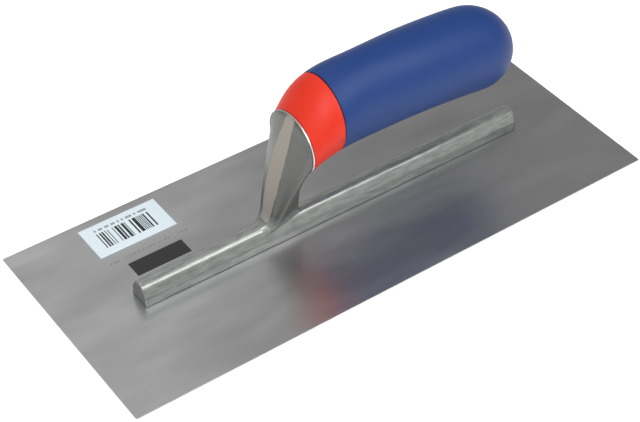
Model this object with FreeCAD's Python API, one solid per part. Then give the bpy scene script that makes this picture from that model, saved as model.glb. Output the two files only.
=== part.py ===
"""Steel finishing trowel: a flat blade riveted to a cast mounting that carries a soft-grip handle.

Frame, in millimetres: X runs along the blade from toe to heel, Y across it, Z up. The origin is the
middle of the blade's underside, so the tool rests on Z = 0. One STEP file is written per sub-part.
"""

import FreeCAD
import Part
import math
import os

Vector = FreeCAD.Vector

# Blade: one ground steel sheet.
BLADE_LENGTH = 280.0
BLADE_WIDTH = 115.0
BLADE_THICKNESS = 0.7
BLADE_CORNER_RADIUS = 0.8

# Spine: the faceted D-shaped bar of the casting that lies along the blade.
SPINE_LENGTH = 210.7
SPINE_MIDDLE_X = 1.85
SPINE_HEIGHT = 10.2
SPINE_FOOT_WIDTH = 12.0
SPINE_FOOT_CHAMFER = 0.4
SPINE_SHOULDER_WIDTH = 11.6
SPINE_SHOULDER_HEIGHT = 4.6
SPINE_SHOULDER_ROUND = 3.0
SPINE_CROWN_WIDTH = 6.6
SPINE_CROWN_ROUND = 2.6
SPINE_CROWN_ANGLE = 20.0
SPINE_TOP_ROUND = 6.0
SPINE_TOE_ROUND = 0.9
SPINE_HEEL_ROUND = 2.4

# Rivets: driven up through the blade into blind holes in the spine, heads ground flush.
RIVET_COUNT = 8
RIVET_END_MARGIN = 10.0
RIVET_SHANK_RADIUS = 2.0
RIVET_HEAD_RADIUS = 3.4
RIVET_DEPTH = 5.5
RIVET_CLEARANCE = 0.05

# Rim: the upright oval face at the top of the shank, where the handle butts against the casting.
RIM_X = -21.6
RIM_HALF_WIDTH = 16.4
RIM_HEIGHT = 28.8
RIM_LIP = 0.25
RIM_LIP_THICKNESS = 0.8
FINGER_CLEARANCE = 25.4

# Shank: rises from the spine to the rim, with a flat ground front strip, a ridge down each side and
# a narrow back.
SHANK_FRONT_REACH = 15.7
SHANK_FRONT_BOW = 1.5
SHANK_BACK_X = 1.8
STRIP_HALF_WIDTH = 2.9
STRIP_SWELL = 1.8
RIDGE_BASE_HALF_WIDTH = 5.4
RIDGE_BASE_SETBACK = 0.07
RIDGE_RIM_SETBACK = 0.525
BACK_BASE_HALF_WIDTH = 2.5
BACK_RIM_HALF_WIDTH = 11.0
FACET_DISH = 0.5
RIM_FACET_BULGE = 4.2
RIM_SIDE_BULGE = 1.2
STRIP_EDGE_ROUND = 0.35
RIDGE_ROUND = 1.0
FRONT_FILLET = 5.0
BACK_FILLET = 3.0
STRIP_DIP = 0.4
STRIP_PINCH = 0.4
RIDGE_FLARE = 0.8
RIDGE_DIP = 3.2
RIDGE_TUCK = 0.4
BACK_DIP = 0.8
SHANK_ROOT_DEPTH = 6.5
RIM_FLARE_POWER = 4

# Handle: upright oval sections from the rim to a domed butt. A lift is the height of a section's
# underside above the rim's foot, and a depth is its height from underside to top.
COLLAR_LENGTH = 15.2
COLLAR_MIDDLE_HALF_WIDTH = 18.3
COLLAR_MIDDLE_LIFT = 3.8
COLLAR_MIDDLE_DEPTH = 34.0
JOINT_HALF_WIDTH = 18.7
JOINT_LIFT = 5.3
JOINT_DEPTH = 37.6
GRIP_LENGTH = 82.4
WAIST_SHARE = 0.22
WAIST_HALF_WIDTH = 17.7
WAIST_LIFT = 4.9
WAIST_DEPTH = 41.1
BELLY_SHARE = 0.5
BELLY_HALF_WIDTH = 18.6
BELLY_LIFT = 5.2
BELLY_DEPTH = 40.9
PALM_SHARE = 0.8
PALM_HALF_WIDTH = 19.2
PALM_LIFT = 3.8
PALM_DEPTH = 41.3
DOME_LIFT = 1.8
DOME_DEPTH = 41.9
DOME_LENGTH = 22.9
DOME_SLOPE = -0.125
DOME_ROOT = 4.0
DOME_STEPS = 10
OVAL_POINTS = 16
COLLAR_ROUND = 0.8
JOINT_ROUND = 0.35

# Inside the handle: a rigid core, driven on the casting's tang and held by a bolt from the butt.
SLEEVE_WALL = 2.6
BUTT_WALL = 6.5
AXIS_ABOVE_RIM_FOOT = 19.8
TANG_LENGTH = 46.0
TANG_WIDTH = 12.0
TANG_HEIGHT = 9.0
TANG_ROUND = 1.5
TANG_ROOT_DEPTH = 0.4
SOCKET_CLEARANCE = 0.1
BOLT_RADIUS = 3.0
BOLT_ENGAGEMENT = 15.0
BOLT_HEAD_RADIUS = 5.0
BOLT_HEAD_HEIGHT = 6.0
HEX_ACROSS_FLATS = 5.0
HEX_DEPTH = 3.0
BOLT_CLEARANCE = 0.1
CORE_BORE_CLEARANCE = 0.4
WASHER_RADIUS = 6.0
WASHER_THICKNESS = 1.5
COUNTERBORE_RADIUS = 7.0
COUNTERBORE_DEPTH = 11.0
PLUG_CLEARANCE = 0.1
PLUG_HEAD_GAP = 0.8

# Paper label stuck on the blade's top, near the toe.
LABEL_LENGTH = 40.0
LABEL_WIDTH = 21.0
LABEL_THICKNESS = 0.12
LABEL_TOE_MARGIN = 36.0
LABEL_SIDE_MARGIN = 4.5

# Heights and places that follow from the sizes above.
SPINE_TOP_Z = BLADE_THICKNESS + SPINE_HEIGHT
SPINE_TOE_X = SPINE_MIDDLE_X - SPINE_LENGTH / 2
SPINE_HEEL_X = SPINE_MIDDLE_X + SPINE_LENGTH / 2
RIM_FOOT_Z = SPINE_TOP_Z + FINGER_CLEARANCE
RIM_TOP_Z = RIM_FOOT_Z + RIM_HEIGHT
NECK_X = RIM_X - RIM_LIP_THICKNESS
JOINT_X = RIM_X + COLLAR_LENGTH
DOME_X = JOINT_X + GRIP_LENGTH
BUTT_X = DOME_X + DOME_LENGTH
AXIS_Z = RIM_FOOT_Z + AXIS_ABOVE_RIM_FOOT
TANG_END_X = RIM_X + TANG_LENGTH
CORE_END_X = BUTT_X - BUTT_WALL
COUNTERBORE_X = CORE_END_X - COUNTERBORE_DEPTH


def rod(radius, start_x, end_x):
    """A round bar along the handle's axis."""
    return Part.makeCylinder(radius, end_x - start_x, Vector(start_x, 0, AXIS_Z), Vector(1, 0, 0))


def curve(points):
    """An edge whose poles are the points: a line for two, a parabola for three."""
    bezier = Part.BezierCurve()
    bezier.setPoles(points)
    return bezier.toShape()


def edges_where(shape, test):
    """The shape's edges whose vertices all pass the test."""
    return [e for e in shape.Edges if e.Vertexes and all(test(v.Point) for v in e.Vertexes)]


# ---------------------------------------------------------------- blade and rivets


def rivet_places():
    first = SPINE_TOE_X + RIVET_END_MARGIN
    last = SPINE_HEEL_X - RIVET_END_MARGIN
    pitch = (last - first) / (RIVET_COUNT - 1)
    return [first + number * pitch for number in range(RIVET_COUNT)]


def rivet(x, clearance, depth):
    """One countersunk rivet, or with a clearance the hole it fills."""
    head = Part.makeCone(
        RIVET_HEAD_RADIUS + clearance,
        RIVET_SHANK_RADIUS + clearance,
        BLADE_THICKNESS,
        Vector(x, 0, 0),
    )
    shank = Part.makeCylinder(
        RIVET_SHANK_RADIUS + clearance, depth, Vector(x, 0, BLADE_THICKNESS)
    )
    return head.fuse(shank).removeSplitter()


def make_blade():
    corner = Vector(-BLADE_LENGTH / 2, -BLADE_WIDTH / 2, 0)
    sheet = Part.makeBox(BLADE_LENGTH, BLADE_WIDTH, BLADE_THICKNESS, corner)
    uprights = [e for e in sheet.Edges if abs(e.Vertexes[0].Z - e.Vertexes[1].Z) > BLADE_THICKNESS / 2]
    sheet = sheet.makeFillet(BLADE_CORNER_RADIUS, uprights)
    holes = [rivet(x, RIVET_CLEARANCE, 1.0) for x in rivet_places()]
    return sheet.cut(holes)


def make_rivets():
    return Part.makeCompound([rivet(x, 0, RIVET_DEPTH) for x in rivet_places()])


# ---------------------------------------------------------------- mounting casting


def rounded_outline(points, radii):
    """A closed wire of straight sides whose corners are arcs of the given radii."""
    count = len(points)
    starts, middles, ends = [], [], []
    for i, (point, radius) in enumerate(zip(points, radii)):
        before = (points[i - 1] - point).normalize()
        after = (points[(i + 1) % count] - point).normalize()
        half_angle = before.getAngle(after) / 2
        inward = (before + after).normalize()
        starts.append(point + before * (radius / math.tan(half_angle)))
        ends.append(point + after * (radius / math.tan(half_angle)))
        middles.append(point + inward * radius * (1 / math.sin(half_angle) - 1))
    edges = []
    for i in range(count):
        if radii[i] > 0:
            edges.append(Part.Arc(starts[i], middles[i], ends[i]).toShape())
        edges.append(Part.makeLine(ends[i], starts[(i + 1) % count]))
    return Part.Wire(edges)


def make_spine():
    """The bar: side, slanting facet and rounded crown, with the long edges and both ends softened."""
    slope = math.radians(SPINE_CROWN_ANGLE)
    crown = SPINE_CROWN_WIDTH / 2
    apex_z = SPINE_TOP_Z + SPINE_TOP_ROUND * (1 / math.cos(slope) - 1)
    foot = (SPINE_FOOT_WIDTH / 2, BLADE_THICKNESS)
    shoulder = (SPINE_SHOULDER_WIDTH / 2, BLADE_THICKNESS + SPINE_SHOULDER_HEIGHT)
    edge = (crown, apex_z - crown * math.tan(slope))
    half = [(foot, 0.0), (shoulder, SPINE_SHOULDER_ROUND), (edge, SPINE_CROWN_ROUND)]
    corners = half + [((0.0, apex_z), SPINE_TOP_ROUND)]
    corners += [((-y, z), radius) for (y, z), radius in reversed(half)]
    points = [Vector(SPINE_TOE_X, y, z) for (y, z), _ in corners]
    outline = rounded_outline(points, [radius for _, radius in corners])
    bar = Part.Face(outline).extrude(Vector(SPINE_LENGTH, 0, 0))
    for end_x, radius in ((SPINE_TOE_X, SPINE_TOE_ROUND), (SPINE_HEEL_X, SPINE_HEEL_ROUND)):
        ends = edges_where(bar, lambda p: abs(p.x - end_x) < 0.01)
        above_foot = [e for e in ends if e.CenterOfMass.z > BLADE_THICKNESS + 0.01]
        bar = bar.makeFillet(radius, above_foot)
    around_foot = edges_where(bar, lambda p: abs(p.z - BLADE_THICKNESS) < 0.01)
    return bar.makeChamfer(SPINE_FOOT_CHAMFER, around_foot)


def flare(height, radius):
    """How far a fillet of this radius stands out at a height above the surface that it meets."""
    if height >= radius:
        return 0.0
    return radius - math.sqrt(radius**2 - (radius - height) ** 2)


def rounded_section(corners, rounds, bulges):
    """A closed wire through six corners: each side is a curve, each corner a parabola."""
    count = len(corners)
    starts, ends = [], []
    for i, corner in enumerate(corners):
        before = (corners[i - 1] - corner).normalize()
        after = (corners[(i + 1) % count] - corner).normalize()
        starts.append(corner + before * rounds[i])
        ends.append(corner + after * rounds[i])
    middle = sum(corners[1:], corners[0]) / count
    edges = []
    for i, corner in enumerate(corners):
        edges.append(curve([starts[i], corner, ends[i]]))
        a, b = ends[i], starts[(i + 1) % count]
        chord = (b - a).normalize()
        outward = (a + b) / 2 - middle
        outward = (outward - chord * outward.dot(chord)).normalize()
        edges.append(curve([a, (a + b) / 2 + outward * 2 * bulges[i], b]))
    return Part.Wire(edges)


def rim_section(half_angles):
    """The rim's oval inside the lip, cut into the same twelve pieces as a shank section."""
    rim_x = NECK_X + RIM_LIP_THICKNESS / 2
    half_height = RIM_HEIGHT / 2
    centre_z = RIM_FOOT_Z + half_height

    def at(angle):
        return Vector(rim_x, RIM_HALF_WIDTH * math.sin(angle), centre_z + half_height * math.cos(angle))

    strip, ridge, back = half_angles
    soft = math.radians(2.0)
    middles = [strip, -strip, -ridge, -back, back - 2 * math.pi, ridge - 2 * math.pi]
    breaks = []
    for angle in middles:
        breaks += [angle + soft, angle - soft]
    breaks.append(breaks[0] - 2 * math.pi)
    edges = []
    for first, last in zip(breaks, breaks[1:]):
        step = (last - first) / 8
        spline = Part.BSplineCurve()
        spline.interpolate([at(first + k * step) for k in range(9)])
        edges.append(spline.toShape())
    return Part.Wire(edges)


def shank_section(rise):
    """A section of the shank. The rise is 0 where it stands on the spine and 1 at the rim.

    Each section is a slice from the front strip to the back. The slices fan from level at the
    spine to upright at the rim, so the front climbs further than the back.
    """
    front_z = SPINE_TOP_Z + rise * (RIM_TOP_Z - SPINE_TOP_Z)
    back_z = SPINE_TOP_Z + rise * FINGER_CLEARANCE
    base_front_x = RIM_X - SHANK_FRONT_REACH
    front_x = base_front_x + rise * (NECK_X - base_front_x) - SHANK_FRONT_BOW * math.sin(math.pi * rise)
    base_back_x = RIM_X + SHANK_BACK_X
    back_x = base_back_x + rise * (NECK_X - base_back_x)
    strip = STRIP_HALF_WIDTH + STRIP_SWELL * math.sin(math.pi * rise)
    setback = RIDGE_BASE_SETBACK + (RIDGE_RIM_SETBACK - RIDGE_BASE_SETBACK) * rise
    ridge = RIDGE_BASE_HALF_WIDTH + (RIM_HALF_WIDTH - RIDGE_BASE_HALF_WIDTH) * rise**0.7
    back = BACK_BASE_HALF_WIDTH + (BACK_RIM_HALF_WIDTH - BACK_BASE_HALF_WIDTH) * rise**2
    ridge_x = front_x + setback * (back_x - front_x)
    ridge_z = front_z + setback * (back_z - front_z)

    # At the foot the front, ridges and back sweep out and dip into the spine's crown and shoulders.
    front_flare = flare(front_z - SPINE_TOP_Z, FRONT_FILLET)
    back_flare = flare(back_z - SPINE_TOP_Z, BACK_FILLET)
    blend = front_flare / FRONT_FILLET
    front_x -= front_flare
    front_z -= STRIP_DIP * blend
    strip -= STRIP_PINCH * strip * blend
    ridge_x -= RIDGE_FLARE * front_flare
    ridge_z -= RIDGE_DIP * blend
    ridge -= RIDGE_TUCK * blend
    back_x += back_flare
    back_z -= BACK_DIP * back_flare / BACK_FILLET

    # Towards the rim the back's corners draw in until they lie on the rim's oval, and the back
    # bulges between them down to the oval's lowest point.
    swell = rise**RIM_FLARE_POWER
    draw = swell * RIM_HEIGHT / 2 * (1 - math.sqrt(1 - (BACK_RIM_HALF_WIDTH / RIM_HALF_WIDTH) ** 2))
    slant = math.hypot(front_x - back_x, front_z - back_z)
    corner_x = back_x + draw * (front_x - back_x) / slant
    corner_z = back_z + draw * (front_z - back_z) / slant
    corners = [
        Vector(front_x, strip, front_z),
        Vector(front_x, -strip, front_z),
        Vector(ridge_x, -ridge, ridge_z),
        Vector(corner_x, -back, corner_z),
        Vector(corner_x, back, corner_z),
        Vector(ridge_x, ridge, ridge_z),
    ]
    facet = -FACET_DISH * min(1.0, 4 * rise) + (RIM_FACET_BULGE + FACET_DISH) * swell
    side = RIM_SIDE_BULGE * swell
    bulges = [0.0, facet, side, draw, side, facet]
    soft = STRIP_EDGE_ROUND
    rounds = [soft, soft, RIDGE_ROUND, RIDGE_ROUND, RIDGE_ROUND, RIDGE_ROUND]
    return rounded_section(corners, rounds, bulges)


def shank_root():
    """The lowest slice, level and buried in the spine."""
    z = SPINE_TOP_Z - SHANK_ROOT_DEPTH
    front_x = RIM_X - SHANK_FRONT_REACH - RIDGE_FLARE * FRONT_FILLET
    back_x = RIM_X + SHANK_BACK_X + BACK_FILLET
    strip = STRIP_HALF_WIDTH * (1 - STRIP_PINCH)
    ridge = SPINE_SHOULDER_WIDTH / 2 - 1.0
    ridge_x = front_x + 1.0
    corners = [
        Vector(front_x, strip, z),
        Vector(front_x, -strip, z),
        Vector(ridge_x, -ridge, z),
        Vector(back_x, -BACK_BASE_HALF_WIDTH, z),
        Vector(back_x, BACK_BASE_HALF_WIDTH, z),
        Vector(ridge_x, ridge, z),
    ]
    soft = STRIP_EDGE_ROUND
    return rounded_section(corners, [soft, soft] + [RIDGE_ROUND] * 4, [0.0] * 6)


def make_shank():
    strip = math.asin(STRIP_HALF_WIDTH / RIM_HALF_WIDTH)
    ridge = math.acos(1 - 2 * RIDGE_RIM_SETBACK)
    back = math.pi - math.asin(BACK_RIM_HALF_WIDTH / RIM_HALF_WIDTH)
    rises = [0.0, 0.012, 0.035, 0.08, 0.16, 0.3, 0.45, 0.6, 0.74, 0.86, 0.94, 0.98]
    sections = [shank_root()] + [shank_section(rise) for rise in rises]
    sections.append(rim_section((strip, ridge, back)))
    return Part.makeLoft(sections, True, False)


def oval(x, half_width, foot_z, top_z):
    """An upright oval in the plane X = x, as one closed edge that starts at its top."""
    half_height = (top_z - foot_z) / 2
    middle_z = (top_z + foot_z) / 2
    points = []
    for number in range(OVAL_POINTS):
        angle = 2 * math.pi * number / OVAL_POINTS
        points.append(Vector(x, half_width * math.sin(angle), middle_z + half_height * math.cos(angle)))
    outline = Part.BSplineCurve()
    outline.interpolate(points, PeriodicFlag=True)
    return Part.Wire(outline.toShape())


def make_tang(clearance, root_x):
    """The cast tang, or with a clearance its socket in the core, from root_x back."""
    width = TANG_WIDTH + 2 * clearance
    height = TANG_HEIGHT + 2 * clearance
    corner = Vector(root_x, -width / 2, AXIS_Z - height / 2)
    bar = Part.makeBox(TANG_END_X + clearance - root_x, width, height, corner)
    long_edges = [e for e in bar.Edges if abs(e.Vertexes[0].X - e.Vertexes[1].X) > 1]
    return bar.makeFillet(TANG_ROUND, long_edges)


def make_casting():
    lip = Part.Face(
        oval(NECK_X, RIM_HALF_WIDTH + RIM_LIP, RIM_FOOT_Z - RIM_LIP, RIM_TOP_Z + RIM_LIP)
    ).extrude(Vector(RIM_LIP_THICKNESS, 0, 0))
    tang = make_tang(0, NECK_X - TANG_ROOT_DEPTH)
    casting = make_spine().fuse(make_shank()).fuse(lip).fuse(tang).removeSplitter()
    tapped_hole = rod(BOLT_RADIUS + BOLT_CLEARANCE, TANG_END_X - BOLT_ENGAGEMENT - 2, TANG_END_X)
    rivet_holes = [rivet(x, RIVET_CLEARANCE, RIVET_DEPTH + 0.3) for x in rivet_places()]
    return casting.cut([tapped_hole] + rivet_holes)


# ---------------------------------------------------------------- handle


def handle_body(inset):
    """The whole handle from rim to butt, its surface drawn in by the inset."""
    stations = [
        (RIM_X, RIM_HALF_WIDTH, 0.0, RIM_HEIGHT),
        (RIM_X + COLLAR_LENGTH / 2, COLLAR_MIDDLE_HALF_WIDTH, COLLAR_MIDDLE_LIFT, COLLAR_MIDDLE_DEPTH),
        (JOINT_X, JOINT_HALF_WIDTH, JOINT_LIFT, JOINT_DEPTH),
        (JOINT_X + WAIST_SHARE * GRIP_LENGTH, WAIST_HALF_WIDTH, WAIST_LIFT, WAIST_DEPTH),
        (JOINT_X + BELLY_SHARE * GRIP_LENGTH, BELLY_HALF_WIDTH, BELLY_LIFT, BELLY_DEPTH),
        (JOINT_X + PALM_SHARE * GRIP_LENGTH, PALM_HALF_WIDTH, PALM_LIFT, PALM_DEPTH),
        (DOME_X - DOME_ROOT, PALM_HALF_WIDTH, DOME_LIFT - DOME_ROOT * DOME_SLOPE, DOME_DEPTH),
        (DOME_X, PALM_HALF_WIDTH, DOME_LIFT, DOME_DEPTH),
    ]
    sections = []
    for x, half_width, lift, depth in stations:
        foot_z = RIM_FOOT_Z + lift
        top_z = foot_z + depth
        sections.append(oval(x, half_width - inset, foot_z + inset, top_z - inset))

    _, half_width, lift, depth = stations[-1]
    middle_z = RIM_FOOT_Z + lift + depth / 2
    for number in range(1, DOME_STEPS):
        angle = math.radians(90 * number / DOME_STEPS)
        along = (DOME_LENGTH - inset) * math.sin(angle)
        centre_z = middle_z + DOME_SLOPE * along
        reach_y = (half_width - inset) * math.cos(angle)
        reach_z = (depth / 2 - inset) * math.cos(angle)
        sections.append(oval(DOME_X + along, reach_y, centre_z - reach_z, centre_z + reach_z))
    return Part.makeLoft(sections, True, False)


def slab(start_x, end_x):
    """A block wider than the handle, between two upright planes."""
    reach = 4 * RIM_HEIGHT
    return Part.makeBox(end_x - start_x, 2 * reach, 2 * reach, Vector(start_x, -reach, AXIS_Z - reach))


def core_blank():
    return handle_body(SLEEVE_WALL).common(slab(RIM_X, CORE_END_X))


def make_core(blank):
    bore = rod(BOLT_RADIUS + CORE_BORE_CLEARANCE, TANG_END_X, CORE_END_X)
    counterbore = rod(COUNTERBORE_RADIUS, COUNTERBORE_X, CORE_END_X)
    return blank.cut([make_tang(SOCKET_CLEARANCE, RIM_X), bore, counterbore])


def make_front_collar(body, blank):
    ring = body.common(slab(RIM_X, JOINT_X))
    front = edges_where(ring, lambda p: abs(p.x - RIM_X) < 0.01)
    ring = ring.makeFillet(COLLAR_ROUND, front)
    joint = edges_where(ring, lambda p: abs(p.x - JOINT_X) < 0.01)
    return ring.makeFillet(JOINT_ROUND, joint).cut(blank)


def make_grip_sleeve(body, blank):
    sleeve = body.common(slab(JOINT_X, BUTT_X + 1))
    joint = edges_where(sleeve, lambda p: abs(p.x - JOINT_X) < 0.01)
    sleeve = sleeve.makeFillet(JOINT_ROUND, joint)
    return sleeve.cut([blank, rod(COUNTERBORE_RADIUS, COUNTERBORE_X, BUTT_X + 1)])


def make_end_plug(body):
    start_x = COUNTERBORE_X + WASHER_THICKNESS + BOLT_HEAD_HEIGHT + PLUG_HEAD_GAP
    return rod(COUNTERBORE_RADIUS - PLUG_CLEARANCE, start_x, BUTT_X + 1).common(body)


def make_washer():
    seat_x = COUNTERBORE_X + WASHER_THICKNESS
    disc = rod(WASHER_RADIUS, COUNTERBORE_X, seat_x)
    return disc.cut(rod(BOLT_RADIUS + BOLT_CLEARANCE, COUNTERBORE_X - 1, seat_x + 1))


def make_bolt():
    seat_x = COUNTERBORE_X + WASHER_THICKNESS
    shank = rod(BOLT_RADIUS, TANG_END_X - BOLT_ENGAGEMENT, seat_x)
    head = rod(BOLT_HEAD_RADIUS, seat_x, seat_x + BOLT_HEAD_HEIGHT)
    top_x = seat_x + BOLT_HEAD_HEIGHT
    corner_radius = HEX_ACROSS_FLATS / math.sqrt(3)
    corners = []
    for number in range(7):
        angle = math.radians(60 * number)
        corners.append(
            Vector(top_x, corner_radius * math.cos(angle), AXIS_Z + corner_radius * math.sin(angle))
        )
    socket = Part.Face(Part.makePolygon(corners)).extrude(Vector(-HEX_DEPTH, 0, 0))
    return shank.fuse(head).removeSplitter().cut(socket)


def make_label():
    corner = Vector(
        -BLADE_LENGTH / 2 + LABEL_TOE_MARGIN,
        BLADE_WIDTH / 2 - LABEL_SIDE_MARGIN - LABEL_WIDTH,
        BLADE_THICKNESS,
    )
    return Part.makeBox(LABEL_LENGTH, LABEL_WIDTH, LABEL_THICKNESS, corner)


def main():
    os.makedirs("parts", exist_ok=True)
    body = handle_body(0)
    blank = core_blank()
    pieces = {
        "blade": make_blade(),
        "blade_rivets": make_rivets(),
        "mounting_casting": make_casting(),
        "handle_core": make_core(blank),
        "front_collar": make_front_collar(body, blank),
        "grip_sleeve": make_grip_sleeve(body, blank),
        "handle_bolt": make_bolt(),
        "bolt_washer": make_washer(),
        "end_plug": make_end_plug(body),
        "paper_label": make_label(),
    }
    for name, shape in pieces.items():
        box = shape.BoundBox
        print(name, "solids", len(shape.Solids), "valid", shape.isValid(), "volume", round(shape.Volume, 1))
        print("   x", round(box.XMin, 2), round(box.XMax, 2), "y", round(box.YMin, 2), round(box.YMax, 2),
              "z", round(box.ZMin, 2), round(box.ZMax, 2))
        shape.exportStep("parts/" + name + ".step")


main()
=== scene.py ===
"""The looks of a steel finishing trowel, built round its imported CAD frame."""

import logging
import math
from dataclasses import dataclass
from enum import Enum

import bmesh
import bpy
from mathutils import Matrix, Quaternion, Vector


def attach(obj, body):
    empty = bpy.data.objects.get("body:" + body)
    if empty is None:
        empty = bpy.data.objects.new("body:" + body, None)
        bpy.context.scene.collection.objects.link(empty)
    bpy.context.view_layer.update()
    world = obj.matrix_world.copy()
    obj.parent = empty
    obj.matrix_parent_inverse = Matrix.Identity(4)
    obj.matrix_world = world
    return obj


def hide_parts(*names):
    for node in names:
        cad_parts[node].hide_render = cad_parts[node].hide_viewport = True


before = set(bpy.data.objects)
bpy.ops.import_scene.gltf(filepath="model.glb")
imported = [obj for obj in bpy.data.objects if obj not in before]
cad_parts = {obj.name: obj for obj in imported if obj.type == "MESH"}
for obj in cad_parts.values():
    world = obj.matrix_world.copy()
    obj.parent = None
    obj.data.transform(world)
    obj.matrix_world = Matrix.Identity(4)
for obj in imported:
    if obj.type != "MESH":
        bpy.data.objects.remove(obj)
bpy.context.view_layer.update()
MM = 0.001
BODY = "root"
WELD_MM = 0.002
# A Mix node's sockets for the share and for the two colours, which only their numbers tell apart.
SHARE, UNDER, OVER = 0, 6, 7
log = logging.getLogger("trowel")


class Crease(Enum):
    """Which edges stay crisp: those that turn more than this many degrees."""

    CAST = 28.0
    MOULDED = 35.0


# ------------------------------------------------------------------ small tools


def linear(hex_colour: str) -> tuple[float, float, float, float]:
    """Turn an sRGB hex colour into linear light, by the sRGB standard's own curve.

    Args:
        hex_colour: six hex digits.

    Returns:
        Red, green, blue and an alpha of 1.
    """
    parts = [int(hex_colour[i : i + 2], 16) / 255 for i in (0, 2, 4)]
    lit = [c / 12.92 if c <= 0.04045 else ((c + 0.055) / 1.055) ** 2.4 for c in parts]
    return (*lit, 1.0)


def shaded(colour: tuple[float, ...], share: float) -> tuple[float, float, float, float]:
    """Darken a linear colour.

    Args:
        colour: red, green, blue and alpha.
        share: how much of its light is left.

    Returns:
        The darker colour, with an alpha of 1.
    """
    red, green, blue = (c * share for c in colour[:3])
    return (red, green, blue, 1.0)


def node(
    tree: bpy.types.NodeTree, kind: str, links: dict | None = None, **settings: object
) -> bpy.types.Node:
    """Add one node.

    Args:
        tree: the node tree it goes into.
        kind: the node's type name, without the ShaderNode prefix.
        links: input name or number to a plain value, an output socket, or a node whose first
            output in use is meant.
        settings: attributes to set on the node.

    Returns:
        The new node.
    """
    made = tree.nodes.new("ShaderNode" + kind)
    for name, value in settings.items():
        setattr(made, name, value)
    for name, value in (links or {}).items():
        if isinstance(value, bpy.types.Node):
            value = next(socket for socket in value.outputs if socket.enabled)
        if isinstance(value, bpy.types.NodeSocket):
            tree.links.new(value, made.inputs[name])
        else:
            made.inputs[name].default_value = value
    return made


def new_material(name: str) -> tuple[bpy.types.Material, bpy.types.NodeTree]:
    """Start a material with an empty node tree.

    Args:
        name: what the material is.

    Returns:
        The material and its node tree.
    """
    material = bpy.data.materials.new(name)
    material.use_nodes = True
    material.node_tree.nodes.clear()
    return material, material.node_tree


def surface(tree: bpy.types.NodeTree, links: dict) -> None:
    """Close a material: one Principled shader, fed and shown.

    Args:
        tree: the material's node tree.
        links: what feeds the shader, as in node().
    """
    node(tree, "OutputMaterial", {"Surface": node(tree, "BsdfPrincipled", links)})


def stretched(
    tree: bpy.types.NodeTree, size_mm: tuple[float, float, float]
) -> bpy.types.Node:
    """Place a pattern on the piece, at a real size.

    Args:
        tree: the node tree.
        size_mm: the size of one unit of the pattern along each axis.

    Returns:
        The node that gives the pattern its vector.
    """
    scale = tuple(1 / (size * MM) for size in size_mm)
    place = node(tree, "TexCoord")
    return node(tree, "Mapping", {"Vector": place.outputs["Object"], "Scale": scale})


def position(tree: bpy.types.NodeTree) -> bpy.types.Node:
    """Split a point's place on the tool.

    Args:
        tree: the node tree.

    Returns:
        A node with outputs X, Y and Z, in metres.
    """
    return node(tree, "SeparateXYZ", {"Vector": node(tree, "TexCoord").outputs["Object"]})


def facing(tree: bpy.types.NodeTree) -> bpy.types.Node:
    """Split the direction that a face looks in.

    Args:
        tree: the node tree.

    Returns:
        A node with outputs X, Y and Z, from -1 to 1.
    """
    return node(
        tree, "SeparateXYZ", {"Vector": node(tree, "NewGeometry").outputs["True Normal"]}
    )


def mottled(
    tree: bpy.types.NodeTree,
    pattern: bpy.types.Node,
    stops: tuple[float, float],
    low: tuple[float, ...] | bpy.types.Node,
    high: tuple[float, ...],
) -> bpy.types.Node:
    """Blend two tones where a pattern climbs from one level to another.

    Args:
        tree: the node tree.
        pattern: what decides between the tones.
        stops: the pattern's levels where the first tone ends and the second is full.
        low: the tone where the pattern is low.
        high: the tone where it is high.

    Returns:
        The blended colour's node.
    """
    climb = node(tree, "MapRange", {"Value": pattern, "From Min": stops[0], "From Max": stops[1]})
    return node(tree, "Mix", {SHARE: climb, UNDER: low, OVER: high}, data_type="RGBA")


def within(
    tree: bpy.types.NodeTree, box_mm: tuple[float, float, float, float]
) -> bpy.types.Node:
    """Mask a rectangle seen from above: 1 inside, 0 outside.

    Args:
        tree: the node tree.
        box_mm: low X, high X, low Y and high Y.

    Returns:
        The mask's node.
    """
    place = position(tree)
    low_x, high_x, low_y, high_y = (edge * MM for edge in box_mm)
    x_reach = {0: place.outputs["X"], 1: (low_x + high_x) / 2, 2: (high_x - low_x) / 2}
    y_reach = {0: place.outputs["Y"], 1: (low_y + high_y) / 2, 2: (high_y - low_y) / 2}
    in_x = node(tree, "Math", x_reach, operation="COMPARE")
    in_y = node(tree, "Math", y_reach, operation="COMPARE")
    return node(tree, "Math", {0: in_x, 1: in_y}, operation="MULTIPLY")


def bars(tree: bpy.types.NodeTree, pitch_mm: float, share: float) -> bpy.types.Node:
    """Mask bars across X: each step of the pitch is filled or bare.

    Args:
        tree: the node tree.
        pitch_mm: the narrowest bar.
        share: how much is filled.

    Returns:
        The mask's node.
    """
    pitches = {0: position(tree).outputs["X"], 1: pitch_mm * MM}
    count = node(tree, "Math", pitches, operation="DIVIDE")
    step = node(tree, "Math", {0: count}, operation="FLOOR")
    dice = node(tree, "TexWhiteNoise", {"W": step}, noise_dimensions="1D")
    return node(tree, "Math", {0: dice, 1: share}, operation="LESS_THAN")


def merged_copy(node_name: str) -> bmesh.types.BMesh:
    """Copy a CAD node's mesh with its loose triangles joined.

    Args:
        node_name: the CAD node.

    Returns:
        The copy.
    """
    copy = bmesh.new()
    copy.from_mesh(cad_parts[node_name].data)
    bmesh.ops.remove_doubles(copy, verts=copy.verts, dist=WELD_MM * MM)
    return copy


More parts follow.
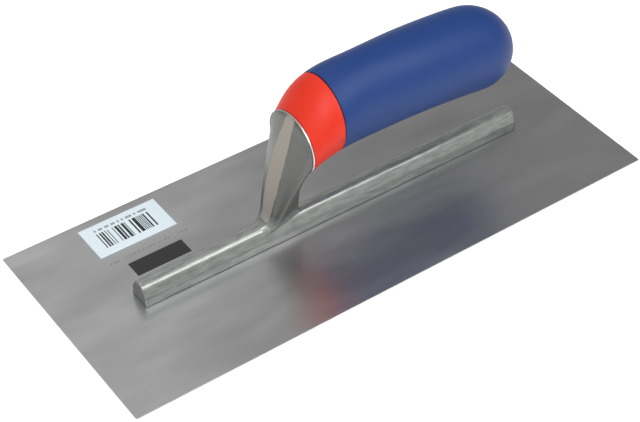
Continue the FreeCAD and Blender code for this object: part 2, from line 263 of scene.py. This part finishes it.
def finish_piece(
    name: str,
    made: bmesh.types.BMesh,
    material: bpy.types.Material,
    slot: str,
    crease: Crease,
    *replaced: str,
) -> None:
    """Turn a bmesh into a shown piece that rides on the tool.

    Args:
        name: the piece's name.
        made: its mesh, freed here.
        material: its finish.
        slot: the record's material slot; not used.
        crease: which edges stay crisp.
        replaced: CAD nodes that it stands for.
    """
    for face in made.faces:
        face.smooth = True
    for edge in made.edges:
        if len(edge.link_faces) == 2:
            edge.smooth = edge.calc_face_angle(0.0) < math.radians(crease.value)
    mesh = bpy.data.meshes.new(name)
    made.to_mesh(mesh)
    made.free()
    mesh.materials.append(material)
    piece = bpy.data.objects.new(name, mesh)
    bpy.context.scene.collection.objects.link(piece)
    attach(piece, BODY)
    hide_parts(*replaced)
    log.info("%s: %d faces", name, len(mesh.polygons))


def dress(node_name: str, material: bpy.types.Material) -> None:
    """Give a CAD node its finish.

    Args:
        node_name: the CAD node.
        material: its finish.
    """
    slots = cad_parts[node_name].data.materials
    slots.clear()
    slots.append(material)
    log.info("%s: dressed in %s", node_name, material.name)


# ------------------------------------------------------------------ finishes


@dataclass(frozen=True)
class GroundSteel:
    """Hardened steel sheet, ground along its length: grey, with soft, slightly wavy reflections."""

    tint: str = "B9B9BA"
    ink: str = "1B1A19"
    # Real grinding lines are finer: these are as coarse as they need to be to show.
    streak_mm: tuple[float, float, float] = (70.0, 0.7, 1.0)
    streak_stops: tuple[float, float] = (0.35, 0.65)
    streak_shade: float = 0.93
    streak_bump: float = 0.05
    streak_depth_mm: float = 0.02
    # Broad, faint patches that darken the steel, roughen it and bend it in gentle waves, the same
    # through the sheet's thickness.
    cloud_mm: tuple[float, float, float] = (72.0, 24.0, 1000.0)
    cloud_stops: tuple[float, float] = (0.35, 0.62)
    cloud_shade: float = 0.8
    cloud_depth_mm: float = 1.2
    roughness: tuple[float, float] = (0.28, 0.44)
    panel_mm: tuple[float, float, float, float] = (-96.0, -68.0, 13.0, 22.3)
    dashes_mm: tuple[float, float, float, float] = (-103.0, -62.0, 26.0, 26.9)
    dash_mm: float = 0.6
    dash_share: float = 0.6
    dash_strength: float = 0.4
    # A face is printed only if it looks up by more than this.
    upward: float = 0.5

    def printed(self, tree: bpy.types.NodeTree) -> bpy.types.Node:
        """Mask a plain printed panel and a row of grey dashes, on the upper face only.

        Args:
            tree: the node tree.

        Returns:
            The mask's node.
        """
        row = {0: within(tree, self.dashes_mm), 1: bars(tree, self.dash_mm, self.dash_share)}
        dashes = node(tree, "Math", row, operation="MULTIPLY")
        grey = node(tree, "Math", {0: dashes, 1: self.dash_strength}, operation="MULTIPLY")
        both = node(tree, "Math", {0: within(tree, self.panel_mm), 1: grey}, operation="MAXIMUM")
        tilt = {0: facing(tree).outputs["Z"], 1: self.upward}
        on_top = node(tree, "Math", tilt, operation="GREATER_THAN")
        return node(tree, "Math", {0: both, 1: on_top}, operation="MULTIPLY")

    def make(self) -> bpy.types.Material:
        """Build the material.

        Returns:
            The material.
        """
        material, tree = new_material("ground steel sheet")
        streaks = node(
            tree,
            "TexNoise",
            {"Vector": stretched(tree, self.streak_mm), "Scale": 1.0, "Detail": 3.0},
        )
        clouds = node(
            tree,
            "TexNoise",
            {"Vector": stretched(tree, self.cloud_mm), "Scale": 1.0, "Detail": 2.0},
        )
        base = linear(self.tint)
        ground = mottled(tree, streaks, self.streak_stops, shaded(base, self.streak_shade), base)
        patch_tone = shaded(base, self.cloud_shade)
        tone = mottled(tree, clouds, self.cloud_stops, ground, patch_tone)
        ink = self.printed(tree)
        inked = {SHARE: ink, UNDER: tone, OVER: linear(self.ink)}
        smooth, rough = self.roughness
        waves = node(
            tree,
            "Bump",
            {"Height": clouds, "Strength": 1.0, "Distance": self.cloud_depth_mm * MM},
        )
        lines = node(
            tree,
            "Bump",
            {
                "Height": streaks,
                "Strength": self.streak_bump,
                "Distance": self.streak_depth_mm * MM,
                "Normal": waves,
            },
        )
        surface(
            tree,
            {
                "Base Color": node(tree, "Mix", inked, data_type="RGBA"),
                "Metallic": node(tree, "Math", {0: 1.0, 1: ink}, operation="SUBTRACT"),
                "Roughness": node(
                    tree, "MapRange", {"Value": clouds, "To Min": smooth, "To Max": rough}
                ),
                "Normal": lines,
            },
        )
        return material


@dataclass(frozen=True)
class CastAluminium:
    """Tumbled cast aluminium: a scratched silver spine, a shank darkened by painted shade and a rim
    lit by a painted highlight.

    A flat strip ground down the front of the shank is warmer and duller than the cast skin.
    """

    skin: str = "B2B5B2"
    # The shank's painted shade: a darker colour that stands in for the shade on its facets.
    shank_shade_colour: str = "6C6D69"
    ground: str = "A09A92"
    # The rim's painted highlight: a brighter colour that stands in for light caught on its edge.
    rim_highlight_colour: str = "DCDCD8"
    scratch_mm: tuple[float, float, float] = (7.0, 1.3, 1.3)
    scratch_stops: tuple[float, float] = (0.36, 0.64)
    scratch_shade: float = 0.7
    scratch_bump: float = 0.2
    scratch_depth_mm: float = 0.15
    roughness: tuple[float, float] = (0.36, 0.5)
    # Painted shade darkens the shank, fading in over its foot.
    shank_foot_mm: tuple[float, float] = (11.0, 17.0)
    shank_shade_share: float = 0.85
    # The rim's painted highlight lies behind the first and above the second.
    rim_front_mm: float = -22.2
    rim_foot_mm: float = 33.0
    # The strip swells from its plain half width at both of these levels to its widest half way up.
    strip_ends_mm: tuple[float, float] = (10.9, 65.1)
    strip_foot_mm: float = 12.5
    strip_half_width_mm: float = 3.0
    strip_swell_mm: float = 1.8
    # It is cut only on faces that look forward this far and turn sideways no more than this.
    strip_forward: float = -0.8
    strip_turn: float = 0.12
    strip_metal_loss: float = 0.45
    strip_roughness: float = 0.2

    def shank(self, tree: bpy.types.NodeTree) -> bpy.types.Node:
        """Mask the shank's painted shade, fading in over its foot.

        Args:
            tree: the node tree.

        Returns:
            The mask's node.
        """
        foot, full = (level * MM for level in self.shank_foot_mm)
        fade = {"Value": position(tree).outputs["Z"], "From Min": foot, "From Max": full}
        mask = node(tree, "MapRange", fade)
        return node(tree, "Math", {0: mask, 1: self.shank_shade_share}, operation="MULTIPLY")

    def rim_highlight(self, tree: bpy.types.NodeTree) -> bpy.types.Node:
        """Mask the rim's painted highlight.

        Args:
            tree: the node tree.

        Returns:
            The mask's node.
        """
        place = position(tree)
        back = {0: place.outputs["X"], 1: self.rim_front_mm * MM}
        high = {0: place.outputs["Z"], 1: self.rim_foot_mm * MM}
        behind = node(tree, "Math", back, operation="GREATER_THAN")
        above = node(tree, "Math", high, operation="GREATER_THAN")
        return node(tree, "Math", {0: behind, 1: above}, operation="MULTIPLY")

    def strip_reach(self, tree: bpy.types.NodeTree, place: bpy.types.Node) -> bpy.types.Node:
        """Mask the strip's outline: widest half way up the shank, with a level foot.

        Args:
            tree: the node tree.
            place: the point's place on the tool.

        Returns:
            The mask's node.
        """
        foot, top = (level * MM for level in self.strip_ends_mm)
        climb = {
            "Value": place.outputs["Z"], "From Min": foot, "From Max": top, "To Max": math.pi,
        }
        swell = node(tree, "Math", {0: node(tree, "MapRange", climb)}, operation="SINE")
        widths = {0: swell, 1: self.strip_swell_mm * MM, 2: self.strip_half_width_mm * MM}
        half_width = node(tree, "Math", widths, operation="MULTIPLY_ADD")
        across = node(tree, "Math", {0: place.outputs["Y"]}, operation="ABSOLUTE")
        inside = node(tree, "Math", {0: across, 1: half_width}, operation="LESS_THAN")
        level = {0: place.outputs["Z"], 1: self.strip_foot_mm * MM}
        above = node(tree, "Math", level, operation="GREATER_THAN")
        return node(tree, "Math", {0: inside, 1: above}, operation="MULTIPLY")

    def strip(self, tree: bpy.types.NodeTree) -> bpy.types.Node:
        """Mask the flat strip that was ground down the front of the shank.

        Args:
            tree: the node tree.

        Returns:
            The mask's node.
        """
        look = facing(tree)
        ahead = {0: look.outputs["X"], 1: self.strip_forward}
        forward = node(tree, "Math", ahead, operation="LESS_THAN")
        turn = node(tree, "Math", {0: look.outputs["Y"]}, operation="ABSOLUTE")
        square = node(tree, "Math", {0: turn, 1: self.strip_turn}, operation="LESS_THAN")
        face = node(tree, "Math", {0: forward, 1: square}, operation="MULTIPLY")
        reach = self.strip_reach(tree, position(tree))
        return node(tree, "Math", {0: face, 1: reach}, operation="MULTIPLY")

    def make(self) -> bpy.types.Material:
        """Build the material.

        Returns:
            The material.
        """
        material, tree = new_material("tumbled cast aluminium")
        scratches = node(
            tree,
            "TexNoise",
            {
                "Vector": stretched(tree, self.scratch_mm),
                "Scale": 1.0,
                "Detail": 4.0,
                "Roughness": 0.6,
            },
        )
        base = linear(self.skin)
        tone = mottled(
            tree, scratches, self.scratch_stops, shaded(base, self.scratch_shade), base
        )
        strip = self.strip(tree)
        # Painted shade on the shank, a painted highlight on the rim, then the ground strip's own
        # colour.
        shade_highlight_and_strip = (
            (self.shank(tree), self.shank_shade_colour),
            (self.rim_highlight(tree), self.rim_highlight_colour),
            (strip, self.ground),
        )
        for mask, colour in shade_highlight_and_strip:
            overlay = {SHARE: mask, UNDER: tone, OVER: linear(colour)}
            tone = node(tree, "Mix", overlay, data_type="RGBA")
        smooth, rough = self.roughness
        grain = node(tree, "MapRange", {"Value": scratches, "To Min": smooth, "To Max": rough})
        duller = {0: strip, 1: -self.strip_metal_loss, 2: 1.0}
        rougher = {0: strip, 1: self.strip_roughness, 2: grain}
        dents = node(
            tree,
            "Bump",
            {
                "Height": scratches,
                "Strength": self.scratch_bump,
                "Distance": self.scratch_depth_mm * MM,
            },
        )
        surface(
            tree,
            {
                "Base Color": tone,
                "Metallic": node(tree, "Math", duller, operation="MULTIPLY_ADD"),
                "Roughness": node(tree, "Math", rougher, operation="MULTIPLY_ADD"),
                "Normal": dents,
            },
        )
        return material


@dataclass(frozen=True)
class SoftTouchRubber:
    """Moulded thermoplastic elastomer: satin and finely grained, with a painted shadow where two
    pieces butt.
    """

    name: str
    colour: str
    roughness: tuple[float, float] = (0.45, 0.56)
    # The mould's real grain is finer: this is as coarse as it needs to be to show.
    grain_mm: float = 0.5
    grain_bump: float = 0.12
    grain_depth_mm: float = 0.05
    patches_per_metre: float = 45.0
    patch_shade: float = 0.88
    # A narrow painted shadow at each joint, where one piece butts another.
    seams_mm: tuple[float, ...] = (-21.6, -6.4)
    seam_half_width_mm: float = 0.35
    seam_shadow_share: float = 0.25
    specular: float = 0.35

    def make(self) -> bpy.types.Material:
        """Build the material.

        Returns:
            The material.
        """
        material, tree = new_material(self.name)
        grain_at = stretched(tree, (self.grain_mm,) * 3)
        grain = node(tree, "TexNoise", {"Vector": grain_at, "Scale": 1.0, "Detail": 2.0})
        patch_at = stretched(tree, (1 / (self.patches_per_metre * MM),) * 3)
        patches = node(tree, "TexNoise", {"Vector": patch_at, "Scale": 1.0, "Detail": 3.0})
        base = linear(self.colour)
        deep = shaded(base, self.patch_shade)
        tone = node(tree, "Mix", {SHARE: patches, UNDER: deep, OVER: base}, data_type="RGBA")
        place = position(tree)
        # Paint a shadow into the gap at each joint.
        for seam in self.seams_mm:
            reach = {0: place.outputs["X"], 1: seam * MM, 2: self.seam_half_width_mm * MM}
            line = node(tree, "Math", reach, operation="COMPARE")
            shadow = {SHARE: line, UNDER: tone, OVER: shaded(base, self.seam_shadow_share)}
            tone = node(tree, "Mix", shadow, data_type="RGBA")
        smooth, rough = self.roughness
        pits = {
            "Height": grain, "Strength": self.grain_bump, "Distance": self.grain_depth_mm * MM,
        }
        surface(
            tree,
            {
                "Base Color": tone,
                "Roughness": node(
                    tree, "MapRange", {"Value": patches, "To Min": smooth, "To Max": rough}
                ),
                "Normal": node(tree, "Bump", pits),
                "Specular IOR Level": self.specular,
            },
        )
        return material


@dataclass(frozen=True)
class CoatedPaper:
    """Coated label paper: pale and satin, with a crisp row of printed bars that codes nothing."""

    white: str = "D3E0E6"
    ink: str = "1A1C20"
    # Real fibres are finer: these are as coarse as they need to be to show.
    fibre_mm: float = 0.4
    fibre_shade: float = 0.94
    roughness: float = 0.5
    bars_mm: tuple[float, float, float, float] = (-98.0, -71.0, 36.5, 47.0)
    bar_mm: float = 0.42
    bar_share: float = 0.5
    marks_mm: tuple[float, float, float, float] = (-99.0, -70.0, 48.4, 49.8)
    mark_mm: float = 1.1
    mark_share: float = 0.55
    mark_strength: float = 0.6

    def printed(self, tree: bpy.types.NodeTree) -> bpy.types.Node:
        """Mask the bars and the row of blocks beside them.

        Args:
            tree: the node tree.

        Returns:
            The mask's node.
        """
        field = {0: within(tree, self.bars_mm), 1: bars(tree, self.bar_mm, self.bar_share)}
        code = node(tree, "Math", field, operation="MULTIPLY")
        row = {0: within(tree, self.marks_mm), 1: bars(tree, self.mark_mm, self.mark_share)}
        marks = node(tree, "Math", row, operation="MULTIPLY")
        grey = node(tree, "Math", {0: marks, 1: self.mark_strength}, operation="MULTIPLY")
        return node(tree, "Math", {0: code, 1: grey}, operation="MAXIMUM")

    def make(self) -> bpy.types.Material:
        """Build the material.

        Returns:
            The material.
        """
        material, tree = new_material("coated label paper")
        fibre_at = stretched(tree, (self.fibre_mm,) * 3)
        fibres = node(tree, "TexNoise", {"Vector": fibre_at, "Scale": 1.0, "Detail": 2.0})
        white = linear(self.white)
        grey = shaded(white, self.fibre_shade)
        paper = node(tree, "Mix", {SHARE: fibres, UNDER: grey, OVER: white}, data_type="RGBA")
        inked = {SHARE: self.printed(tree), UNDER: paper, OVER: linear(self.ink)}
        tone = node(tree, "Mix", inked, data_type="RGBA")
        surface(tree, {"Base Color": tone, "Roughness": self.roughness})
        return material


@dataclass(frozen=True)
class PlainFinish:
    """A plain, faintly grained finish for the hidden pieces, the rivets and the floor."""

    name: str
    colour: str
    roughness: float
    metallic: float = 0.0
    grain_mm: float = 0.6
    grain_shade: float = 0.92
    glow: float = 0.0

    def make(self) -> bpy.types.Material:
        """Build the material.

        Returns:
            The material.
        """
        material, tree = new_material(self.name)
        grain_at = stretched(tree, (self.grain_mm,) * 3)
        grain = node(tree, "TexNoise", {"Vector": grain_at, "Scale": 1.0, "Detail": 2.0})
        base = linear(self.colour)
        deep = shaded(base, self.grain_shade)
        tone = node(tree, "Mix", {SHARE: grain, UNDER: deep, OVER: base}, data_type="RGBA")
        surface(
            tree,
            {
                "Base Color": tone,
                "Roughness": self.roughness,
                "Metallic": self.metallic,
                "Emission Color": base,
                "Emission Strength": self.glow,
            },
        )
        return material


# ------------------------------------------------------------------ the tool


@dataclass
class Casting:
    """The mounting casting: spine, shank and rim, as one piece."""

    crease: Crease = Crease.CAST

    def build(self) -> None:
        """Carry the CAD shape over with smooth faces and dress it."""
        finish_piece("mounting", merged_copy("mounting_casting"), CastAluminium().make(),
                     "casting", self.crease, "mounting_casting")


@dataclass
class Handle:
    """The soft collar, grip sleeve and end plug."""

    collar_colour: str = "D2280C"
    grip_colour: str = "123672"
    crease: Crease = Crease.MOULDED

    def build(self) -> None:
        """Build each soft piece."""
        orange = SoftTouchRubber("moulded orange elastomer", self.collar_colour).make()
        blue = SoftTouchRubber("moulded blue elastomer", self.grip_colour).make()
        soft = (
            ("collar", "front_collar", orange),
            ("grip", "grip_sleeve", blue),
            ("plug", "end_plug", blue),
        )
        for name, cad_node, rubber in soft:
            finish_piece(name, merged_copy(cad_node), rubber, name, self.crease, cad_node)


@dataclass
class BladeSet:
    """The blade, its rivets and its label."""

    rivet_colour: str = "8C8C8E"
    rivet_roughness: float = 0.3

    def build(self) -> None:
        """Dress the blade, its rivets and its label."""
        dress("blade", GroundSteel().make())
        rivets = PlainFinish(
            "ground rivet steel", self.rivet_colour, self.rivet_roughness, metallic=1.0
        )
        dress("blade_rivets", rivets.make())
        dress("paper_label", CoatedPaper().make())


@dataclass
class Inside:
    """What the handle hides: core, bolt and washer."""

    core_colour: str = "1C1C1E"
    core_roughness: float = 0.5
    zinc_colour: str = "B8BAB8"
    zinc_roughness: float = 0.35

    def build(self) -> None:
        """Dress the hidden pieces."""
        core = PlainFinish("moulded black polypropylene", self.core_colour, self.core_roughness)
        dress("handle_core", core.make())
        zinc = PlainFinish(
            "zinc-plated steel", self.zinc_colour, self.zinc_roughness, metallic=1.0
        ).make()
        dress("handle_bolt", zinc)
        dress("bolt_washer", zinc)


# ------------------------------------------------------------------ studio


@dataclass
class StudioCamera:
    """A long lens that looks down on the tool from its toe end; angles are in degrees."""

    azimuth: float = -36.09
    elevation: float = 42.33
    roll: float = 0.4426
    distance_mm: float = 792.35
    aim_mm: tuple[float, float, float] = (-5.2, 1.8, 0.0)
    lens_mm: float = 96.516
    sensor_mm: float = 36.0
    reach_m: tuple[float, float] = (0.01, 50.0)

    def build(self) -> None:
        """Place the camera."""
        data = bpy.data.cameras.new("camera")
        data.lens = self.lens_mm
        data.sensor_width = self.sensor_mm
        data.clip_start, data.clip_end = self.reach_m
        camera = bpy.data.objects.new("camera", data)
        bpy.context.scene.collection.objects.link(camera)
        a, e = math.radians(self.azimuth), math.radians(self.elevation)
        back = Vector((math.sin(a) * math.cos(e), -math.cos(a) * math.cos(e), math.sin(e)))
        camera.location = Vector(self.aim_mm) * MM + back * self.distance_mm * MM
        level = (-back).to_track_quat("-Z", "Y")
        camera.rotation_mode = "QUATERNION"
        camera.rotation_quaternion = level @ Quaternion((0, 0, 1), math.radians(self.roll))
        bpy.context.scene.camera = camera


@dataclass(frozen=True)
class Softbox:
    """One square area light aimed at the tool: metres, watts, and a turn in degrees."""

    name: str
    place: tuple[float, float, float]
    size: float
    power: float
    spin: float = 0.0

    def build(self) -> None:
        """Hang the light."""
        data = bpy.data.lights.new(self.name, "AREA")
        data.energy = self.power
        data.size = self.size
        light = bpy.data.objects.new(self.name, data)
        light.location = self.place
        light.rotation_mode = "QUATERNION"
        aimed = (-Vector(self.place)).to_track_quat("-Z", "Y")
        light.rotation_quaternion = aimed @ Quaternion((0, 0, 1), math.radians(self.spin))
        bpy.context.scene.collection.objects.link(light)


@dataclass
class Studio:
    """A pale floor, a pale surround and soft lights."""

    surround: float = 0.36
    floor_mm: float = 6000.0
    floor_drop_mm: float = 0.05
    floor_glow: float = 0.35
    floor_roughness: float = 0.9
    lights: tuple[Softbox, ...] = (
        Softbox("key", (-0.75, -0.3, 1.0), 0.7, 10.0),
        Softbox("fill", (0.7, -1.1, 0.9), 1.0, 0.7),
        Softbox("low fill", (0.6, -0.9, 0.22), 0.5, 0.2),
        Softbox("panel", (0.0, 0.88, 1.0), 0.9, 1.7, spin=-35.0),
        Softbox("toe light", (0.12, -0.24, 0.42), 0.3, 1.2),
    )

    def light(self) -> None:
        """Fill the surround with white and hang the lights."""
        world = bpy.data.worlds.new("surround")
        world.use_nodes = True
        background = world.node_tree.nodes["Background"]
        background.inputs["Color"].default_value = (1, 1, 1, 1)
        background.inputs["Strength"].default_value = self.surround
        bpy.context.scene.world = world
        for softbox in self.lights:
            softbox.build()

    def lay_floor(self) -> None:
        """Lay the floor a hair below the tool."""
        made = bmesh.new()
        bmesh.ops.create_grid(made, x_segments=1, y_segments=1, size=self.floor_mm * MM / 2)
        bmesh.ops.translate(made, verts=made.verts, vec=(0, 0, -self.floor_drop_mm * MM))
        mesh = bpy.data.meshes.new("floor")
        made.to_mesh(mesh)
        made.free()
        acrylic = PlainFinish(
            "white acrylic light table", "FFFFFF", self.floor_roughness, glow=self.floor_glow
        )
        mesh.materials.append(acrylic.make())
        floor = bpy.data.objects.new("floor", mesh)
        bpy.context.scene.collection.objects.link(floor)

    def build(self) -> None:
        """Light the room, lay the floor and show colours as they are."""
        self.light()
        self.lay_floor()
        bpy.context.scene.view_settings.view_transform = "Standard"


def main() -> None:
    """Build the tool and its studio."""
    logging.basicConfig(level=logging.INFO, format="%(message)s")
    for part in (StudioCamera(), BladeSet(), Casting(), Handle(), Inside(), Studio()):
        part.build()


if __name__ == "__main__":
    main()
